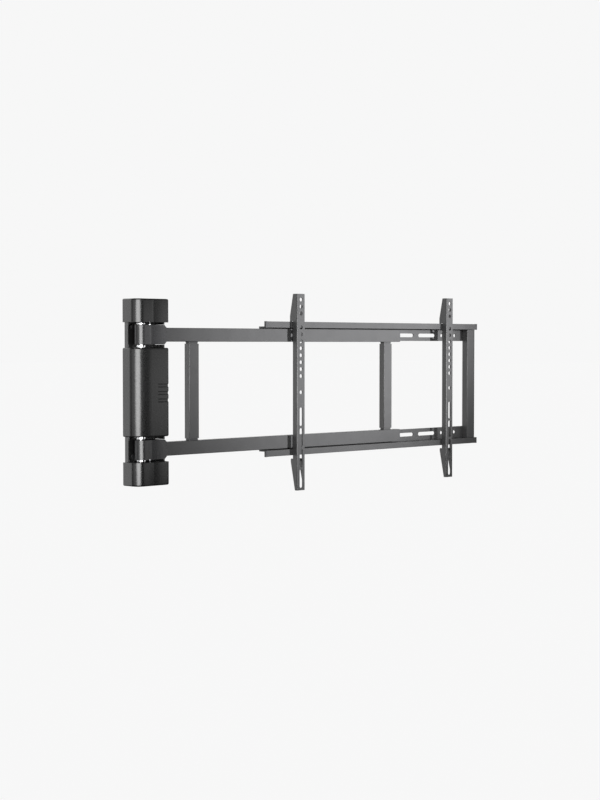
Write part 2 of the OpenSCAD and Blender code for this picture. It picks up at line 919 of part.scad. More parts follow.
module arm_end_plugs() {
    color("#19191a")
        above_and_below() {
            block([arm_x1 - 14, arm_x1], [arm_back + arm_wall, arm_front - arm_wall],
                [arm_in + arm_wall, arm_in + arm_h - arm_wall]);
            block([arm_x1, arm_x1 + 2], [arm_back + 0.5, arm_front - 0.5],
                [arm_in + 0.5, arm_in + arm_h - 0.5]);
        }
}

module arm_rivet_nuts() {
    color("#8d9094")
        above_and_below()
            for (x = clamp_x)
                difference() {
                    union() {
                        rod_f(x, slot_z, nut_r, [arm_back, arm_back + 11]);
                        rod_f(x, slot_z, nut_r + 1.4,
                            [arm_back + arm_wall, arm_back + arm_wall + 2]);
                    }
                    rod_f(x, slot_z, bolt_r + 0.02, [arm_back - 1, arm_back + 12]);
                }
}

// Clamp bolts that pass forwards through the rail slots into the arms.
module rail_bolts() {
    color("#8d9094")
        above_and_below()
            for (x = clamp_x) {
                rod_f(x, slot_z, bolt_r, [washer_f[0] - 1, arm_back + 10]);
                rod_f(x, slot_z, 5.4, [washer_f[0] - 5.5, washer_f[0]]);
            }
}

module rail_washers() {
    color("#9b9ea1")
        above_and_below()
            for (x = clamp_x)
                difference() {
                    rod_f(x, slot_z, 8.5, washer_f);
                    rod_f(x, slot_z, bolt_r + 0.02, [washer_f[0] - 1, washer_f[1] + 1]);
                }
}

// ---- motor pinion ---------------------------------------------------------------------

module motor_pinion() {
    color("#c9a44a")
        translate([motor_x, -hinge_out, 0])
            union() {
                rotate([0, 0, 180 / pinion_teeth])
                    gear(pinion_teeth, 2.5, [gear_z0 + 0.5, gear_z0 + gear_t - 0.5]);
                translate([0, 0, gear_z0 - 13])
                    cylinder(r = 3, h = 13.5 + gear_t);
            }
}

// ---- television rails -----------------------------------------------------------------

// Z-shaped rail: a slotted web behind the arm, a shelf over it and an upright lip in front.
module rail() {
    rail_x1 = rail_x + rail_len;
    difference() {
        union() {
            block([rail_x, rail_x1], [web_f0, web_f1], [web_in, lip_in + rail_t]);
            block([rail_x, rail_x1], [web_f0, lip_front], [lip_in, lip_in + rail_t]);
            block([rail_x, rail_x1], [lip_front - rail_t, lip_front], [lip_in, rail_top]);
        }
        for (k = [0:slot_count - 1])
            slot_f([first_slot_x + k * slot_pitch, first_slot_x + k * slot_pitch + slot_len],
                slot_z, slot_w / 2, [web_f0 - 1, web_f1 + 1]);
        for (x = rail_hole_x)
            rod_f(x, slot_z, slot_w / 2, [web_f0 - 1, web_f1 + 1]);
        for (x = end_post_screw_x)
            rod_f(x, slot_z, 2.1, [web_f0 - 1, web_f1 + 1]);
    }
}

module upper_rail() {
    color("#2e2e30")
        rail();
}

module lower_rail() {
    color("#2e2e30")
        lower_only()
            rail();
}

module rail_end_post() {
    color("#2c2c2e")
        difference() {
            upright(end_post_x, end_post_w, web_f1, end_post_f1, lip_in - 0.1);
            above_and_below()
                for (x = end_post_screw_x)
                    rod_f(x, slot_z, 2.05, [web_f1 - 1, web_f1 + post_wall + 1]);
        }
}

// Moulded caps that close both ends of each lip.
module rail_end_caps() {
    color("#19191a")
        above_and_below()
            for (x = [rail_x - end_cap_w + 2, rail_x + rail_len - 2])
                difference() {
                    block([x, x + end_cap_w], [lip_front - rail_t - 3, lip_front + 0.4],
                        [lip_in - 0.4, rail_top + 0.4]);
                    block([rail_x, rail_x + rail_len], [lip_front - rail_t - 4, lip_front],
                        [lip_in - 1, lip_in + rail_t]);
                    block([rail_x, rail_x + rail_len], [lip_front - rail_t, lip_front],
                        [lip_in, rail_top]);
                }
}

module end_post_screws() {
    color("#8d9094")
        above_and_below()
            for (x = end_post_screw_x) {
                rod_f(x, slot_z, 2, [web_f0 - 0.1, web_f1 + post_wall + 1]);
                rod_f(x, slot_z, 3.6, [web_f0 - 2.4, web_f0]);
            }
}

// ---- television brackets --------------------------------------------------------------

// Side outlines of a bracket's two flanges as [f, z] points: the deep one with the hook, and
// the shallow one opposite, with an ear at each end.
hook_outline = [
    [bracket_front - bend_r, bracket_z0], [bracket_front - tail_end_depth, bracket_z0],
    [tail_f0, tail_z1 - 6], [tail_f0, tail_z1 - 1.5], [tail_f0 + 1.5, tail_z1],
    [flange_f0, tail_z1], [flange_f0, hook_z0 - 4], [flange_f0, rail_top + 1.2],
    [lip_front - rail_t - 0.6, rail_top + 1.2], [lip_front - rail_t - 0.6, hook_z0],
    [hook_f0 + 1, hook_z0], [hook_f0, hook_z0 + 2], [hook_f0, hook_z1],
    [bracket_front - hook_top_depth, bracket_z1], [bracket_front - bend_r, bracket_z1]
];

near_outline = [
    [bracket_front - bend_r, bracket_z0], [bracket_front - near_end_depth, bracket_z0],
    [near_tail_f0, tail_z1 - 6], [near_tail_f0, tail_z1], [near_f0, tail_z1],
    [near_f0, rail_top + 1.2], [near_ear_f0, rail_top + 1.2], [near_ear_f0, hook_z1],
    [bracket_front - near_top_depth, bracket_z1], [bracket_front - bend_r, bracket_z1]
];

module flange(x, outline) {
    translate([x, 0, 0])
        rotate([90, 0, 90])
            linear_extrude(bracket_t)
                polygon([for (p = outline) [-p[0], p[1]]]);
}

// Folded sheet channel. Its left flange hooks over the upper lip, and its face has the screw
// holes of the pattern.
module bracket(x) {
    x0 = x - bracket_w / 2;
    x1 = x + bracket_w / 2;
    difference() {
        union() {
            flange(x0, hook_outline);
            flange(x1 - bracket_t, near_outline);
            block([x0 + bend_r, x1 - bend_r], [bracket_front - bracket_t, bracket_front],
                [bracket_z0, bracket_z1]);
            for (cx = [x0 + bend_r, x1 - bend_r])
                difference() {
                    rod_z(cx, bracket_front - bend_r, bend_r, [bracket_z0, bracket_z1]);
                    rod_z(cx, bracket_front - bend_r, bend_r - bracket_t,
                        [bracket_z0 - 1, bracket_z1 + 1]);
                    block([x0 + bend_r, x1 - bend_r],
                        [bracket_front - 2 * bend_r - 1, bracket_front + 1],
                        [bracket_z0 - 1, bracket_z1 + 1]);
                    block([x0 - 1, x1 + 1],
                        [bracket_front - 2 * bend_r - 1, bracket_front - bend_r],
                        [bracket_z0 - 1, bracket_z1 + 1]);
                }
        }
        for (z = row_low)
            rod_f(x, pattern_z - z, tv_hole_d / 2, [bracket_front - 6, bracket_front + 1]);
        for (k = [0:3])
            tall_slot(x, [pattern_z + tv_slot_z - k * tv_slot_pitch - tv_slot_len / 2,
                pattern_z + tv_slot_z - k * tv_slot_pitch + tv_slot_len / 2],
                tv_hole_d / 2, [bracket_front - 6, bracket_front + 1]);
    }
}

// Folded tab across the channel under the lower lip, threaded for the lock screw.
module lock_tab(x) {
    difference() {
        block([x - bracket_w / 2 + bracket_t, x + bracket_w / 2 - bracket_t],
            [tail_f0 + 1, bracket_front - bracket_t - 4], [tail_z1 - 4.5, tail_z1 - 1.5]);
        rod_z(x, lock_f, lock_r + 0.02, [tail_z1 - 6, tail_z1]);
    }
}

// Lock screw driven up against the lower lip.
module lock_screw(x) {
    union() {
        rod_z(x, lock_f, lock_r, [tail_z1 - 18, -rail_top - 0.4]);
        rod_z(x, lock_f, 4.2, [tail_z1 - 22, tail_z1 - 18]);
    }
}

module left_bracket() {
    color("#38383a")
        bracket(bracket_x);
}

module left_lock_tab() {
    color("#2a2a2c")
        lock_tab(bracket_x);
}

module left_lock_screw() {
    color("#8d9094")
        lock_screw(bracket_x);
}

module right_bracket() {
    color("#38383a")
        bracket(bracket_x + bracket_gap);
}

module right_lock_tab() {
    color("#2a2a2c")
        lock_tab(bracket_x + bracket_gap);
}

module right_lock_screw() {
    color("#8d9094")
        lock_screw(bracket_x + bracket_gap);
}

wall_plate();
top_pivot_block();
upper_inner_pivot_block();
lower_inner_pivot_block();
bottom_pivot_block();
pivot_bushes();
pivot_block_screws();
top_cap();
bottom_cap();
motor_housing();
cover_screws();
motor();
gearbox();
motor_bracket();
motor_screws();
control_board();
board_parts();
board_standoffs();
limit_switches();
power_inlet();
hole_plugs();
inlet_lead();
motor_leads();
drive_shaft();
shaft_clips();
drive_gear();
thrust_washers();
stop_pins();
upper_hub();
lower_hub();
hub_screws();
upper_arm();
lower_arm();
inner_post();
outer_post();
post_tabs();
arm_end_plugs();
arm_rivet_nuts();
rail_bolts();
rail_washers();
motor_pinion();
upper_rail();
lower_rail();
rail_end_post();
rail_end_caps();
end_post_screws();
left_bracket();
left_lock_tab();
left_lock_screw();
right_bracket();
right_lock_tab();
right_lock_screw();
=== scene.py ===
"""Looks of the motorised swing mount for a flat television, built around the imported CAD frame.

Frame: metres, X runs right along the wall, the wall is the plane Y = 0 with the room on the -Y side,
Z is up. Sizes below are in millimetres and pass through MM. Depths f are distances out from the wall.
"""

import json
import math

import bmesh
import bpy
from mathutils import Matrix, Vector


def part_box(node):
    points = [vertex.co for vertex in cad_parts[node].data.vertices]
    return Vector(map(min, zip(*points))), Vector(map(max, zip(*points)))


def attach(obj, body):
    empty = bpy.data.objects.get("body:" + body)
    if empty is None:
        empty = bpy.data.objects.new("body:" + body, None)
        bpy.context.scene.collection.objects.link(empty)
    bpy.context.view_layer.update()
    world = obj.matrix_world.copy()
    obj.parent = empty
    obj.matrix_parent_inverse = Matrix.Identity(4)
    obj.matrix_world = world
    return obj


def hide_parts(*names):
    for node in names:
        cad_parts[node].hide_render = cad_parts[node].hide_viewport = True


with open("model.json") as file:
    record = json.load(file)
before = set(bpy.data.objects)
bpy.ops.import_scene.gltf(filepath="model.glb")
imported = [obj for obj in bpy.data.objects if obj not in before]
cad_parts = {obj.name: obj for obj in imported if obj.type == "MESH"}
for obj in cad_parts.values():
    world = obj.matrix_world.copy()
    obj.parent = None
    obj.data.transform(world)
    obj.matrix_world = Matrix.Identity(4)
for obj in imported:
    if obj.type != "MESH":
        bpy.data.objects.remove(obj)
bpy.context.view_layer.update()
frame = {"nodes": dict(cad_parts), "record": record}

MM = 0.001
BODY_OF = {n: b for b, names in frame["record"]["behaviour"]["bodies"].items() for n in names}
SLOT_OF = {p["node"]: p["material_slot"] for p in frame["record"]["subparts"]}


# ---- node helpers ---------------------------------------------------------------------

def tree_of(owner):
    """An empty node tree on a material or world, as (nodes, link function)."""
    owner.use_nodes = True
    nodes = owner.node_tree.nodes
    nodes.clear()
    links = owner.node_tree.links

    def link(a, b):
        links.new(a, b)

    return nodes, link


def noise(nodes, link, vector, per_mm, detail):
    """Noise texture with a grain of about 1 / per_mm millimetres."""
    tex = nodes.new("ShaderNodeTexNoise")
    tex.inputs["Scale"].default_value = per_mm / MM
    tex.inputs["Detail"].default_value = detail
    tex.inputs["Roughness"].default_value = 0.55
    link(vector, tex.inputs["Vector"])
    return tex.outputs["Fac"]


def ramp(nodes, link, value, low, high):
    """Value from 0.3 to 0.7 mapped onto low to high."""
    node = nodes.new("ShaderNodeMapRange")
    node.inputs["From Min"].default_value = 0.3
    node.inputs["From Max"].default_value = 0.7
    node.inputs["To Min"].default_value = low
    node.inputs["To Max"].default_value = high
    link(value, node.inputs["Value"])
    return node.outputs["Result"]


def mix_colour(nodes, link, fac, a, b):
    """Colour that goes from a to b as fac goes from 0 to 1."""
    node = nodes.new("ShaderNodeMix")
    node.data_type = "RGBA"
    node.inputs[6].default_value = (*a, 1)
    node.inputs[7].default_value = (*b, 1)
    link(fac, node.inputs[0])
    return node.outputs[2]


def bump(nodes, link, height, depth_mm, under=None):
    """Normal that follows a height, on top of another normal where one is given."""
    node = nodes.new("ShaderNodeBump")
    node.inputs["Strength"].default_value = 1.0
    node.inputs["Distance"].default_value = depth_mm * MM
    link(height, node.inputs["Height"])
    if under is not None:
        link(under, node.inputs["Normal"])
    return node.outputs["Normal"]


def stretched(nodes, link, vector, scale):
    """Coordinates scaled along each axis, so a texture on them is drawn out."""
    node = nodes.new("ShaderNodeMapping")
    node.inputs["Scale"].default_value = scale
    link(vector, node.inputs["Vector"])
    return node.outputs["Vector"]


def surface(name):
    """A Principled material, as (material, nodes, link function, shader, object coordinates)."""
    mat = bpy.data.materials.new(name)
    nodes, link = tree_of(mat)
    out = nodes.new("ShaderNodeOutputMaterial")
    shader = nodes.new("ShaderNodeBsdfPrincipled")
    link(shader.outputs["BSDF"], out.inputs["Surface"])
    coords = nodes.new("ShaderNodeTexCoord").outputs["Object"]
    return mat, nodes, link, shader, coords


# ---- materials ------------------------------------------------------------------------

def paint(name, dark, light, rough, peel_mm=1.1, peel_depth=0.03, grain_depth=0.008, shine=0.65):
    """Sprayed or powder-coated metal: faint colour clouds, uneven gloss, orange peel and fine grain."""
    mat, nodes, link, shader, coords = surface(name)
    clouds = noise(nodes, link, coords, 0.03, 4.0)
    link(mix_colour(nodes, link, clouds, dark, light), shader.inputs["Base Color"])
    gloss = noise(nodes, link, coords, 0.35, 4.0)
    link(ramp(nodes, link, gloss, rough[0], rough[1]), shader.inputs["Roughness"])
    shader.inputs["Specular IOR Level"].default_value = shine
    peel = bump(nodes, link, noise(nodes, link, coords, 1 / peel_mm, 1.5), peel_depth)
    grain = bump(nodes, link, noise(nodes, link, coords, 5.0, 2.0), grain_depth, under=peel)
    link(grain, shader.inputs["Normal"])
    return mat


def moulded(name, dark, light, rough, grain_mm=0.45, grain_depth=0.005):
    """Moulded plastic with a spark-eroded grain."""
    mat, nodes, link, shader, coords = surface(name)
    clouds = noise(nodes, link, coords, 0.02, 3.0)
    link(mix_colour(nodes, link, clouds, dark, light), shader.inputs["Base Color"])
    gloss = noise(nodes, link, coords, 0.2, 5.0)
    link(ramp(nodes, link, gloss, rough[0], rough[1]), shader.inputs["Roughness"])
    shader.inputs["IOR"].default_value = 1.5
    cells = nodes.new("ShaderNodeTexVoronoi")
    cells.inputs["Scale"].default_value = 1 / (grain_mm * MM)
    link(coords, cells.inputs["Vector"])
    link(bump(nodes, link, cells.outputs["Distance"], grain_depth), shader.inputs["Normal"])
    return mat


def plated(name, dark, light, rough, along=(1, 1, 1), scratch_depth=0.004):
    """Bare or plated metal; along sets the direction of its fine tool marks."""
    mat, nodes, link, shader, coords = surface(name)
    shader.inputs["Metallic"].default_value = 1.0
    clouds = noise(nodes, link, coords, 0.12, 4.0)
    link(mix_colour(nodes, link, clouds, dark, light), shader.inputs["Base Color"])
    marks = noise(nodes, link, stretched(nodes, link, coords, along), 2.0, 3.0)
    link(ramp(nodes, link, marks, rough[0], rough[1]), shader.inputs["Roughness"])
    link(bump(nodes, link, marks, scratch_depth), shader.inputs["Normal"])
    return mat


def grey(level, blue=0.0):
    return (level, level, level + blue)


SATIN_BLACK = ((0.011, 0.011, 0.0113), (0.015, 0.015, 0.0153), (0.42, 0.52))

MATERIALS = {
    "powder_coat": paint("powder_coat", *SATIN_BLACK),
    # Wall plate coat: black, and darker than the other black coats as painted shade for the recess between
    # the covers.
    "plate_painted_shade_coat": paint("plate_painted_shade_coat", grey(0.004), grey(0.006), (0.30, 0.40)),
    "bracket_coat": paint("bracket_coat", *SATIN_BLACK),
    "hub_coat": paint(
        "hub_coat", grey(0.010), grey(0.014, 0.001), (0.26, 0.34),
        peel_mm=1.6, peel_depth=0.015, grain_depth=0.003, shine=0.5),
    "cover_plastic": moulded("cover_plastic", grey(0.004), grey(0.006), (0.26, 0.32)),
    "black_plastic": moulded("black_plastic", grey(0.010, 0.001), grey(0.016, 0.001), (0.42, 0.55)),
    "lead_jacket": moulded(
        "lead_jacket", grey(0.018, 0.001), grey(0.028, 0.002), (0.38, 0.5), grain_mm=1.2, grain_depth=0.02),
    "lead_red": moulded(
        "lead_red", (0.30, 0.022, 0.015), (0.38, 0.032, 0.022), (0.38, 0.5), grain_mm=1.2, grain_depth=0.02),
    "zinc_steel": plated("zinc_steel", (0.50, 0.51, 0.52), grey(0.66), (0.28, 0.42)),
    "polished_steel": plated(
        "polished_steel", (0.78, 0.79, 0.80), grey(0.86, 0.01), (0.10, 0.18),
        along=(1, 1, 4), scratch_depth=0.0015),
    "block_aluminium": plated(
        "block_aluminium", grey(0.030, 0.002), grey(0.045, 0.002), (0.38, 0.5), along=(0.3, 4, 4)),
    "bronze": plated("bronze", (0.45, 0.30, 0.13), (0.60, 0.42, 0.20), (0.32, 0.5)),
    "gear_brass": plated("gear_brass", (0.62, 0.47, 0.19), (0.74, 0.58, 0.27), (0.25, 0.4)),
    "motor_can": plated("motor_can", (0.55, 0.56, 0.57), grey(0.68, 0.01), (0.25, 0.36), along=(1, 1, 6)),
    "gearbox_zinc": plated("gearbox_zinc", grey(0.58, 0.01), grey(0.72, 0.01), (0.4, 0.58)),
    "board_green": paint(
        "board_green", (0.012, 0.10, 0.045), (0.02, 0.14, 0.065), (0.25, 0.38),
        peel_mm=2.5, peel_depth=0.01, grain_depth=0.002),
}


# Nodes whose finish differs from the rest of their slot. The wall plate's black coat is darker than the
# other black coats as painted shade for the recess between the covers.
OWN_FINISH = {"wall_plate": "plate_painted_shade_coat", "motor_leads": "lead_red"}


def finish_of(obj, node):
    """Gives an object the material of a CAD node and nothing else."""
    obj.data.materials.clear()
    obj.data.materials.append(MATERIALS[OWN_FINISH.get(node, SLOT_OF[node])])


# ---- CAD nodes ------------------------------------------------------------------------

def soften(obj, width_mm):
    """Merges split corners and rounds edges with modifiers, leaving the CAD mesh alone."""
    weld = obj.modifiers.new("weld", "WELD")
    weld.merge_threshold = 1e-6
    planar = obj.modifiers.new("planar", "DECIMATE")
    planar.decimate_type = "DISSOLVE"
    planar.angle_limit = math.radians(0.5)
    edge = obj.modifiers.new("edge", "BEVEL")
    edge.width = width_mm * MM
    edge.segments = 2
    edge.limit_method = "ANGLE"
    edge.angle_limit = math.radians(35)
    edge.harden_normals = True


# Nodes left as the CAD has them, and the edge radius of the tubes; the rest get EDGE_DEFAULT_MM.
SHARP = ("motor_pinion", "drive_gear", "board_parts", "control_board", "inlet_lead", "motor_leads")
EDGE_MM = {"upper_arm": 1.2, "lower_arm": 1.2, "inner_post": 0.8, "outer_post": 0.8, "rail_end_post": 0.8}
EDGE_DEFAULT_MM = 0.3

for node_name, node_obj in frame["nodes"].items():
    finish_of(node_obj, node_name)
    if node_name not in SHARP:
        soften(node_obj, EDGE_MM.get(node_name, EDGE_DEFAULT_MM))


# ---- pieces ---------------------------------------------------------------------------

def piece(name, bm, node, replace=True):
    """Makes an object from a bmesh, on the body and in the slot of a CAD node. It stands for the
    node where replace is set."""
    mesh = bpy.data.meshes.new(name)
    bmesh.ops.recalc_face_normals(bm, faces=bm.faces)
    bm.to_mesh(mesh)
    bm.free()
    obj = bpy.data.objects.new(name, mesh)
    bpy.context.scene.collection.objects.link(obj)
    finish_of(obj, node)
    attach(obj, BODY_OF[node])
    if replace:
        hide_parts(node)
    return obj


def smooth(obj, degrees):
    """Smooth shading with sharp creases kept."""
    for p in obj.data.polygons:
        p.use_smooth = True
    obj.data.set_sharp_from_angle(angle=math.radians(degrees))


UP = Vector((0, 0, 1))


def round_loop(bm, stations, sides):
    """Round bar that joins up with itself, through level stations in millimetres: each is a centre,
    a heading and a radius."""
    turns = [2 * math.pi * k / sides for k in range(sides)]
    rings = []
    for centre, ahead, radius in stations:
        across = ahead.cross(UP).normalized()
        rings.append([bm.verts.new((centre + (across * math.cos(t) + UP * math.sin(t)) * radius) * MM)
                      for t in turns])
    for a, b in zip(rings, rings[1:] + rings[:1]):
        for k in range(sides):
            m = (k + 1) % sides
            bm.faces.new((a[k], a[m], b[m], b[k]))


def cylinder(start, end, radius, sides=32):
    """Closed cylinder between two points in millimetres, as a bmesh."""
    bm = bmesh.new()
    axis = end - start
    bmesh.ops.create_cone(bm, cap_ends=True, segments=sides, radius1=radius * MM, radius2=radius * MM,
                          depth=axis.length * MM)
    turn = axis.to_track_quat("Z", "Y").to_matrix().to_4x4()
    turn.translation = (start + end) / 2 * MM
    bmesh.ops.transform(bm, matrix=turn, verts=bm.verts)
    return bm


def carve(obj, shapes):
    """Cuts bmesh shapes out of an object, once its modifiers so far are applied."""
    cutters = []
    for k, bm in enumerate(shapes):
        mesh = bpy.data.meshes.new(f"cutter_{k}")
        bmesh.ops.recalc_face_normals(bm, faces=bm.faces)
        bm.to_mesh(mesh)
        bm.free()
        cutter = bpy.data.objects.new(f"cutter_{k}", mesh)
        bpy.context.scene.collection.objects.link(cutter)
        cut = obj.modifiers.new("cut", "BOOLEAN")
        cut.operation = "DIFFERENCE"
        cut.solver = "EXACT"
        cut.object = cutter
        cutters.append(cutter)
    bpy.context.view_layer.update()
    solid = bpy.data.meshes.new_from_object(obj.evaluated_get(bpy.context.evaluated_depsgraph_get()))
    obj.modifiers.clear()
    obj.data = solid
    for cutter in cutters:
        bpy.data.objects.remove(cutter, do_unlink=True)


def rim(obj, width_mm, degrees):
    """Rounds the edges of an object that turn by more than an angle."""
    bevel = obj.modifiers.new("rim", "BEVEL")
    bevel.width = width_mm * MM
    bevel.segments = 2
    bevel.limit_method = "ANGLE"
    bevel.angle_limit = math.radians(degrees)
    bevel.harden_normals = True


# ---- column covers --------------------------------------------------------------------

def arc(cx, cf, r, start, end, steps):
    """Points on an arc; angles in degrees, 0 out from the wall, negative to the left."""
    angles = [math.radians(start + (end - start) * k / steps) for k in range(steps + 1)]
    return [(cx + r * math.sin(a), cf + r * math.cos(a)) for a in angles]


def half_width():
    """Half the column's width, in millimetres."""
    lo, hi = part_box("motor_housing")
    return (hi.x - lo.x) / 2 / MM


def front_depth():
    """How far the covers stand out from the wall, in millimetres."""
    return -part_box("motor_housing")[0].y / MM


# Plan of the covers: the fall to each side of the centre line, the line itself, the left and right
# front corners, and the housing's left corner, broad front curve and angle where the two meet. Then
# the rings of a rounded end edge, and how far a cutter starts outside the face that it cuts.
CREASE_DROP = 0.45
LINE_W = 0.5
LINE_DEPTH = 0.18
CORNER_R = 19
EDGE_R = 8
HOUSING_CORNER_R = 22
HOUSING_CURVE_R = 73
HOUSING_CURVE_X = -3
HOUSING_BLEND = 20
END_STEPS = 5
CUT_CLEAR = 1


def right_edge(inset):
    """Small front corner on the arm side and the right side back to the wall."""
    w, d = half_width(), front_depth() - CREASE_DROP
    return arc(w - EDGE_R, d - EDGE_R, EDGE_R - inset, 0.6, 90, 12) + [(w - inset, 0)]


def cap_outline(inset):
    """Plan path of an end cap, from the wall round the front to the wall again."""
    w, d = half_width(), front_depth()
    left = arc(-w + CORNER_R, d - CREASE_DROP - CORNER_R, CORNER_R - inset, -90, -1.1, 20)
    line = [(-LINE_W, d - inset), (0, d - inset - LINE_DEPTH), (LINE_W, d - inset)]
    return [(-w + inset, 0)] + left + line + right_edge(inset)


def housing_outline(inset):
    """Plan path of the motor housing, whose front flows into the left side in one broad curve."""
    w, d = half_width(), front_depth()
    blend = math.radians(HOUSING_BLEND)
    curve_f = d - HOUSING_CURVE_R
    join_x = HOUSING_CURVE_X - HOUSING_CURVE_R * math.sin(blend)
    join_f = curve_f + HOUSING_CURVE_R * math.cos(blend)
    corner_x = join_x + HOUSING_CORNER_R * math.sin(blend)
    corner_f = join_f - HOUSING_CORNER_R * math.cos(blend)
    side = corner_x - HOUSING_CORNER_R
    path = [(side + inset, 0)]
    path += arc(corner_x, corner_f, HOUSING_CORNER_R - inset, -90, -HOUSING_BLEND, 20)
    path += arc(HOUSING_CURVE_X, curve_f, HOUSING_CURVE_R - inset, -HOUSING_BLEND, 0, 10)[1:]
    return path + right_edge(inset)


def ring_at(bm, path, z):
    """Vertices along a plan path at one height."""
    return [bm.verts.new((x * MM, -f * MM, z * MM)) for x, f in path]


def bridge(bm, a, b):
    """Faces between two open rings."""
    for k in range(len(a) - 1):
        bm.faces.new((a[k], a[k + 1], b[k + 1], b[k]))


def edge_levels(radius):
    """Inset and drop of each ring of a rounded end edge, from the side wall to the end face."""
    angles = [math.radians(90 * k / END_STEPS) for k in range(END_STEPS + 1)]
    return [(radius * (1 - math.cos(a)), radius * (1 - math.sin(a))) for a in angles]


def cover_skin(outline, z_open, z_closed, radius, notch=None, both=False, levels=()):
    """Outer skin of a cover, closed at z_closed or at both ends, with extra rings at some levels. An
    end face is whole, or has a notch from the wall as (x0, x1, depth)."""
    bm = bmesh.new()
    turn = 1 if z_closed > z_open else -1
    rings = []
    if both:
        for inset, drop in reversed(edge_levels(radius)):
            rings.append(ring_at(bm, outline(inset), z_open + turn * drop))
    else:
        rings.append(ring_at(bm, outline(0), z_open))
    for z in levels:
        rings.append(ring_at(bm, outline(0), z))
    for inset, drop in edge_levels(radius):
        rings.append(ring_at(bm, outline(inset), z_closed - turn * drop))
    for a, b in zip(rings, rings[1:]):
        bridge(bm, a, b)
    for ring in ([rings[0], rings[-1]] if both else [rings[-1]]):
        face = list(ring)
        if notch:
            z = ring[0].co.z / MM
            x0, x1, depth = notch
            face += ring_at(bm, [(x1, 0), (x1, depth), (x0, depth), (x0, 0)], z)
        bm.faces.new(face)
    return bm


def shell(obj, thickness):
    """Gives a skin its wall thickness, inwards."""
    solid = obj.modifiers.new("wall", "SOLIDIFY")
    solid.thickness = thickness * MM
    solid.offset = -1
    solid.use_even_offset = True


def mm_box(node):
    """Lowest and highest corner of a CAD node, in millimetres."""
    lo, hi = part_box(node)
    return lo / MM, hi / MM


# Wall thickness and end radius of the covers, the places and sizes of their openings, the gap round
# the wall plate and washers, and how far cutters reach into a side and past an end face.
COVER_T = 2.4
END_R = 3.2
SCREW_F = 12
SCREW_FROM_END = 22
SCREW_HEAD_R = 3
SCREW_HOLE_R = 1.6
SEAT_DEPTH = 1
HOUSING_SCREW_Z = 52
INLET_HOLE_R = 5.6
FIT_GAP = 0.3
WASHER_GAP = 1
SIDE_REACH = 5
END_REACH = 4


def screw_seat(z):
    """Counterbore and hole for a cover screw in the arm side of a cover."""
    w = half_width()

    def at(x):
        return Vector((x, -SCREW_F, z))

    return [cylinder(at(w - SEAT_DEPTH), at(w + CUT_CLEAR), SCREW_HEAD_R),
            cylinder(at(w - SIDE_REACH), at(w - SEAT_DEPTH / 2), SCREW_HOLE_R)]


def end_hole(x, y, z, radius, sides=32):
    """Upright cutter through an end face at height z."""
    return cylinder(Vector((x, y, z - END_REACH)), Vector((x, y, z + END_REACH)), radius, sides)


def finish_cover(obj):
    """Smooth shading and a small radius on the rims of a cover."""
    smooth(obj, 22)
    rim(obj, width_mm=0.3, degrees=60)


for cap in ("top_cap", "bottom_cap"):
    lo, hi = mm_box(cap)
    z_open, z_closed = (lo.z, hi.z) if cap == "top_cap" else (hi.z, lo.z)
    seat_z = z_closed - math.copysign(SCREW_FROM_END, z_closed)
    obj = piece(cap + "_moulding", cover_skin(cap_outline, z_open, z_closed, END_R), cap)
    shell(obj, COVER_T)
    holes = screw_seat(seat_z)
    if cap == "bottom_cap":
        inlet_lo, inlet_hi = mm_box("power_inlet")
        inlet = (inlet_lo + inlet_hi) / 2
        holes.append(end_hole(inlet.x, inlet.y, z_closed, INLET_HOLE_R))
    carve(obj, holes)
    finish_cover(obj)

# Finger grooves: middle height, spacing, depth, width at the floor, what each side adds by the top,
# where they end along the front and along the side, steps round the corner, and the plain margin kept
# above and below them.
GROOVE_Z = -1.5
GROOVE_PITCH = 14.9
GROOVE_DEPTH = 1.4
GROOVE_FLOOR = 4.0
GROOVE_SLOPE = 2.2
GROOVE_X = 11.5
GROOVE_F = 26
GROOVE_STEPS = 12
GROOVE_MARGIN = 8


def groove(z):
    """Slot with sloping sides along the front, round the corner and onto the arm side."""
    w, d = half_width(), front_depth()
    turn_x, turn_f = w - EDGE_R, d - EDGE_R
    stations = [(Vector((GROOVE_X, -turn_f, z)), 0)]
    for k in range(GROOVE_STEPS + 1):
        stations.append((Vector((turn_x, -turn_f, z)), math.radians(90 * k / GROOVE_STEPS)))
    stations.append((Vector((turn_x, -GROOVE_F, z)), math.radians(90)))
    bm = bmesh.new()
    rings = []
    for foot, a in stations:
        out = Vector((math.sin(a), -math.cos(a), 0))
        ring = []
        for u, side in ((-GROOVE_DEPTH, -1), (-GROOVE_DEPTH, 1), (CUT_CLEAR, 1), (CUT_CLEAR, -1)):
            height = side * (GROOVE_FLOOR / 2 + GROOVE_SLOPE * (1 + u / GROOVE_DEPTH))
            ring.append(bm.verts.new((foot + out * (EDGE_R + u) + UP * height) * MM))
        rings.append(ring)
    for a, b in zip(rings, rings[1:]):
        for k in range(4):
            bm.faces.new((a[k], a[(k + 1) % 4], b[(k + 1) % 4], b[k]))
    bm.faces.new(rings[0])
    bm.faces.new(rings[-1])
    return bm


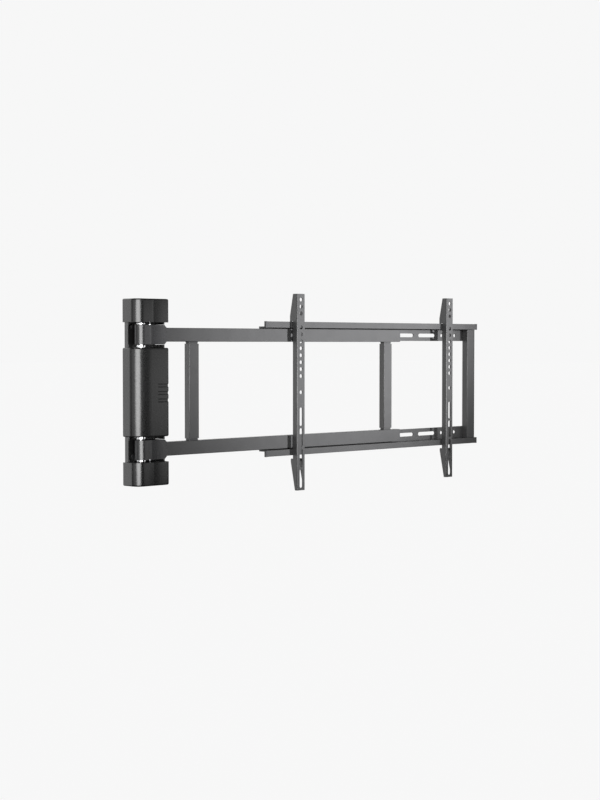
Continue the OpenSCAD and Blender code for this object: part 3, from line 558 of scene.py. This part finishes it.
lo, hi = mm_box("motor_housing")
plate_lo, plate_hi = mm_box("wall_plate")
washer_lo, washer_hi = mm_box("thrust_washers")
washer_mid = (washer_lo + washer_hi) / 2
washer_r = (washer_hi.x - washer_lo.x) / 2
notch = (plate_lo.x - FIT_GAP, plate_hi.x + FIT_GAP, -plate_lo.y + FIT_GAP)
half_band = GROOVE_PITCH + GROOVE_MARGIN
groove_levels = (GROOVE_Z - half_band, GROOVE_Z + half_band)
skin = cover_skin(housing_outline, lo.z, hi.z, END_R, notch, both=True, levels=groove_levels)
housing = piece("motor_housing_moulding", skin, "motor_housing")
shell(housing, COVER_T)
holes = [groove(GROOVE_Z + k * GROOVE_PITCH) for k in (-1, 0, 1)]
holes += screw_seat(HOUSING_SCREW_Z) + screw_seat(-HOUSING_SCREW_Z)
for z in (lo.z, hi.z):
    holes.append(end_hole(washer_mid.x, washer_mid.y, z, washer_r + WASHER_GAP, 48))
carve(housing, holes)
finish_cover(housing)


# ---- hubs -----------------------------------------------------------------------------

def score(x, front, z0, z1):
    """Fine upright line to cut into a front face."""
    bm = bmesh.new()
    plan = [(x - LINE_W, front - 0.02), (x, front + LINE_DEPTH), (x + LINE_W, front - 0.02)]
    low = [bm.verts.new((px * MM, py * MM, z0 * MM)) for px, py in plan]
    high = [bm.verts.new((px * MM, py * MM, z1 * MM)) for px, py in plan]
    bm.faces.new(low)
    bm.faces.new(high)
    for k in range(3):
        m = (k + 1) % 3
        bm.faces.new((low[k], low[m], high[m], high[k]))
    return bm


def welded(node):
    """Bmesh of a CAD node with its split corners merged."""
    bm = bmesh.new()
    bm.from_mesh(frame["nodes"][node].data)
    bm.transform(frame["nodes"][node].matrix_world)
    bmesh.ops.remove_doubles(bm, verts=bm.verts, dist=1e-6)
    return bm


HUB_LINE_X = 0.5

for hub in ("upper_hub", "lower_hub"):
    lo, hi = mm_box(hub)
    bm = welded(hub)
    bmesh.ops.dissolve_limit(bm, angle_limit=math.radians(0.5), verts=bm.verts, edges=bm.edges)
    obj = piece(hub + "_casting", bm, hub)
    carve(obj, [score(HUB_LINE_X, lo.y, lo.z - CUT_CLEAR, hi.z + CUT_CLEAR)])
    smooth(obj, 30)
    rim(obj, width_mm=0.7, degrees=50)


# ---- screws ---------------------------------------------------------------------------

def islands(bm):
    """Lists of the vertex positions of each separate body, in millimetres. The bodies come in the
    order of their first vertices, so that every run gives the same mesh."""
    found = set()
    for first in bm.verts:
        if first in found:
            continue
        found.add(first)
        body, stack = [], [first]
        while stack:
            v = stack.pop()
            body.append(v.co / MM)
            for e in v.link_edges:
                w = e.other_vert(v)
                if w not in found:
                    found.add(w)
                    stack.append(w)
        yield body


def measure_screw(body):
    """Axis, centre, head end, direction from head to tip, and the sizes of a plain CAD screw."""
    lo = Vector([min(p[i] for p in body) for i in range(3)])
    hi = Vector([max(p[i] for p in body) for i in range(3)])
    size = hi - lo
    axis = max(range(3), key=lambda i: min(abs(size[i] - size[j]) for j in range(3) if j != i))
    centre = (lo + hi) / 2

    def radius(p):
        return math.hypot(*[p[j] - centre[j] for j in range(3) if j != axis])

    low_r = max(radius(p) for p in body if p[axis] < lo[axis] + 0.05)
    high_r = max(radius(p) for p in body if p[axis] > hi[axis] - 0.05)
    head_end, sense = (hi[axis], -1) if high_r > low_r else (lo[axis], 1)
    head_r, shank_r = max(low_r, high_r), min(low_r, high_r)
    head_t = max(abs(p[axis] - head_end) for p in body if radius(p) > (head_r + shank_r) / 2)
    return axis, centre, head_end, sense, head_r, shank_r, head_t, size[axis]


# Screws: sides of each ring, thread pitch as a share of the shank's radius, rings in one pitch, socket
# width as a share of the head's radius, its depth as a share of the head's height, and the head's
# rounded edge with the largest share of the height that it takes.
SCREW_SIDES = 24
PITCH_SHARE = 0.34
PITCH_STEPS = 5
SOCKET_SHARE = 0.55
SOCKET_DEPTH = 0.55
HEAD_EDGE = 0.5
HEAD_EDGE_SHARE = 0.3
SCREW_NODES = (
    "cover_screws", "pivot_block_screws", "motor_screws", "hub_screws", "rail_bolts", "end_post_screws",
    "left_lock_screw", "right_lock_screw")


def turned_screw(bm, body):
    """Adds one screw with a rounded head, a hexagon socket and a helical thread."""
    axis, centre, head_end, sense, head_r, shank_r, head_t, length = measure_screw(body)
    along = Vector([float(i == axis) for i in range(3)]) * sense
    u = Vector([float(i == (axis + 1) % 3) for i in range(3)])
    v = along.cross(u)
    top = centre.copy()
    top[axis] = head_end
    pitch = PITCH_SHARE * shank_r
    step = pitch / PITCH_STEPS
    depth = 0.5 * pitch
    key = SOCKET_SHARE * head_r
    soft = min(HEAD_EDGE, HEAD_EDGE_SHARE * head_t)

    def ring(t, radius):
        verts = []
        for k in range(SCREW_SIDES):
            a = 2 * math.pi * k / SCREW_SIDES
            r = radius(a) if callable(radius) else radius
            verts.append(bm.verts.new((top + along * t + (u * math.cos(a) + v * math.sin(a)) * r) * MM))
        return verts

    def hexagon(a):
        return key * math.cos(math.pi / 6) / math.cos(a % (math.pi / 3) - math.pi / 6)

    def thread(t):
        def radius(a):
            phase = (t / pitch + a / (2 * math.pi)) % 1
            return shank_r - depth * (1 - abs(2 * phase - 1))
        return radius

    rings = [ring(SOCKET_DEPTH * head_t, hexagon), ring(0, hexagon), ring(0, head_r - soft),
             ring(0.3 * soft, head_r - 0.3 * soft), ring(soft, head_r), ring(head_t, head_r),
             ring(head_t, shank_r)]
    steps = int((length - head_t - pitch) / step)
    rings += [ring(head_t + step * (k + 1), thread(step * (k + 1))) for k in range(steps)]
    rings.append(ring(length, shank_r - depth))
    for a, b in zip(rings, rings[1:]):
        for k in range(SCREW_SIDES):
            m = (k + 1) % SCREW_SIDES
            bm.faces.new((a[k], a[m], b[m], b[k]))
    bm.faces.new(rings[0])
    bm.faces.new(list(reversed(rings[-1])))


for node in SCREW_NODES:
    plain = welded(node)
    bm = bmesh.new()
    for body in islands(plain):
        turned_screw(bm, body)
    plain.free()
    smooth(piece(node + "_turned", bm, node), 30)


# ---- welds ----------------------------------------------------------------------------

# Weld beads: radius, how far the centre sits off the arm as a share of it, length of a step, sides,
# height of a ripple as a share of the radius, and its length.
BEAD_R = 1.3
BEAD_OFF_ARM = 0.7
BEAD_STEP = 0.45
BEAD_SIDES = 10
BEAD_RIPPLE = 0.10
RIPPLE_LENGTH = 1.9


def bead_loop(bm, x0, x1, f0, f1, z, radius):
    """Rippled weld bead round a rectangle at one height."""
    corners = [(x0, f0), (x1, f0), (x1, f1), (x0, f1)]
    headings = [Vector((1, 0, 0)), Vector((0, -1, 0)), Vector((-1, 0, 0)), Vector((0, 1, 0))]
    stations = []
    travelled = 0
    for k, (x, f) in enumerate(corners):
        nx, nf = corners[(k + 1) % 4]
        run = math.hypot(nx - x, nf - f)
        steps = int(run / BEAD_STEP)
        for j in range(1, steps):
            g = j / steps
            ripple = 1 + BEAD_RIPPLE * abs(math.sin(math.pi * (travelled + g * run) / RIPPLE_LENGTH))
            place = Vector((x + (nx - x) * g, -(f + (nf - f) * g), z))
            stations.append((place, headings[k], radius * ripple / (1 + BEAD_RIPPLE)))
        travelled += run
    round_loop(bm, stations, BEAD_SIDES)


bm = bmesh.new()
tab_front = mm_box("post_tabs")[1].y
arm_in = mm_box("upper_arm")[0].z
for post in ("inner_post", "outer_post"):
    lo, hi = mm_box(post)
    wall = hi.y - tab_front
    for z in (arm_in - BEAD_OFF_ARM * BEAD_R, BEAD_OFF_ARM * BEAD_R - arm_in):
        bead_loop(bm, lo.x + wall, hi.x - wall, -hi.y + wall, -lo.y - wall, z, BEAD_R)
beads = piece("post_welds", bm, "inner_post", replace=False)
smooth(beads, 60)


# ---- stage, light and camera ----------------------------------------------------------

# Floor in metres: its middle and half its width, and how brightly it glows.
FLOOR_AT = (0.5, 0, -0.8)
FLOOR_HALF = 60
FLOOR_GLOW = 0.92


def floor():
    """Large pale floor below the object, close in tone to the backdrop."""
    bm = bmesh.new()
    bmesh.ops.create_grid(bm, x_segments=1, y_segments=1, size=FLOOR_HALF)
    bmesh.ops.translate(bm, verts=bm.verts, vec=FLOOR_AT)
    mesh = bpy.data.meshes.new("floor")
    bm.to_mesh(mesh)
    bm.free()
    obj = bpy.data.objects.new("floor", mesh)
    bpy.context.scene.collection.objects.link(obj)
    mat = bpy.data.materials.new("floor")
    nodes, link = tree_of(mat)
    out = nodes.new("ShaderNodeOutputMaterial")
    add = nodes.new("ShaderNodeAddShader")
    diffuse = nodes.new("ShaderNodeBsdfDiffuse")
    diffuse.inputs["Color"].default_value = (0.02, 0.02, 0.02, 1)
    glow = nodes.new("ShaderNodeEmission")
    glow.inputs["Color"].default_value = (1, 1, 1, 1)
    glow.inputs["Strength"].default_value = FLOOR_GLOW
    link(diffuse.outputs[0], add.inputs[0])
    link(glow.outputs[0], add.inputs[1])
    link(add.outputs[0], out.inputs["Surface"])
    obj.data.materials.append(mat)
    obj.visible_glossy = False
    obj.visible_diffuse = False


def compass(azimuth, elevation):
    """Direction towards a light; azimuth 0 is straight out from the wall, negative to the left."""
    a, e = math.radians(azimuth), math.radians(elevation)
    return Vector((math.sin(a) * math.cos(e), -math.cos(a) * math.cos(e), math.sin(e)))


# Softboxes on the world as (azimuth, elevation, half angle, brightness).
SOFTBOXES = [
    (-36, 2, 25, 12.5),
    (-82, 4, 24, 1.3),
    (-158, 5, 32, 1.9),
    (40, -2, 11, 1.1),
    (64, 2, 8, 1.6),
    (163, 12, 36, 1.6),
]
# Where a softbox starts and stops fading, as shares of its half angle, then the even light.
FADE_FROM = 0.8
FADE_TO = 1.25
BACKDROP = 0.93
FILL = 0.06


def studio():
    """World with soft lamps for the object to reflect, and an even pale backdrop for the camera."""
    world = bpy.data.worlds.new("studio")
    bpy.context.scene.world = world
    nodes, link = tree_of(world)
    out = nodes.new("ShaderNodeOutputWorld")
    direction = nodes.new("ShaderNodeTexCoord").outputs["Generated"]
    total = None
    for azimuth, elevation, half, power in SOFTBOXES:
        dot = nodes.new("ShaderNodeVectorMath")
        dot.operation = "DOT_PRODUCT"
        dot.inputs[1].default_value = compass(azimuth, elevation)
        link(direction, dot.inputs[0])
        spread = nodes.new("ShaderNodeMapRange")
        spread.interpolation_type = "SMOOTHSTEP"
        spread.inputs["From Min"].default_value = math.cos(math.radians(half * FADE_TO))
        spread.inputs["From Max"].default_value = math.cos(math.radians(half * FADE_FROM))
        spread.inputs["To Max"].default_value = power
        link(dot.outputs["Value"], spread.inputs["Value"])
        if total is None:
            total = spread.outputs["Result"]
        else:
            add = nodes.new("ShaderNodeMath")
            link(total, add.inputs[0])
            link(spread.outputs["Result"], add.inputs[1])
            total = add.outputs[0]
    fill = nodes.new("ShaderNodeMath")
    fill.inputs[1].default_value = FILL
    link(total, fill.inputs[0])
    lamps = nodes.new("ShaderNodeBackground")
    lamps.inputs["Color"].default_value = (1, 1, 1, 1)
    link(fill.outputs[0], lamps.inputs["Strength"])
    backdrop = nodes.new("ShaderNodeBackground")
    backdrop.inputs["Color"].default_value = (1, 1, 1, 1)
    backdrop.inputs["Strength"].default_value = BACKDROP
    path = nodes.new("ShaderNodeLightPath")
    mix = nodes.new("ShaderNodeMixShader")
    link(path.outputs["Is Camera Ray"], mix.inputs[0])
    link(lamps.outputs[0], mix.inputs[1])
    link(backdrop.outputs[0], mix.inputs[2])
    link(mix.outputs[0], out.inputs["Surface"])


# Key light: where it stands as seen from its target, how far off, and its strength in watts.
KEY_TARGET = Vector((0.57, -0.03, 0.18))
KEY_FROM = compass(33, 4)
KEY_DISTANCE = 3.0
KEY_WATTS = 6800
KEY_CONE = 20
KEY_RADIUS = 0.04


def key_light():
    """Small spot from the front right, at the height of the mount, that throws the crisp shadows."""
    light = bpy.data.lights.new("key", "SPOT")
    light.energy = KEY_WATTS
    light.spot_size = math.radians(KEY_CONE)
    light.spot_blend = 1.0
    light.shadow_soft_size = KEY_RADIUS
    obj = bpy.data.objects.new("key", light)
    bpy.context.scene.collection.objects.link(obj)
    obj.visible_glossy = False
    obj.location = KEY_TARGET + KEY_FROM * KEY_DISTANCE
    obj.rotation_mode = "QUATERNION"
    obj.rotation_quaternion = KEY_FROM.to_track_quat("Z", "Y")


# Camera: place, turn to the right and tilt down in degrees, and focal length on a 36 mm sensor.
CAMERA_AT = (-1.9567, -2.4900, 0.0966)
CAMERA_TURN = 44
CAMERA_DOWN = 2.05
CAMERA_LENS = 70.59


def camera():
    """Camera at the photograph's angle, front left and a little above."""
    cam = bpy.data.cameras.new("camera")
    cam.sensor_width = 36
    cam.lens = CAMERA_LENS
    cam.clip_start = 0.05
    cam.clip_end = 300
    obj = bpy.data.objects.new("camera", cam)
    bpy.context.scene.collection.objects.link(obj)
    obj.location = CAMERA_AT
    turn, down = math.radians(CAMERA_TURN), math.radians(CAMERA_DOWN)
    ahead = Vector((math.sin(turn) * math.cos(down), math.cos(turn) * math.cos(down), -math.sin(down)))
    obj.rotation_mode = "QUATERNION"
    obj.rotation_quaternion = ahead.to_track_quat("-Z", "Y")
    bpy.context.scene.camera = obj


floor()
studio()
key_light()
camera()
bpy.context.scene.view_settings.view_transform = "Standard"
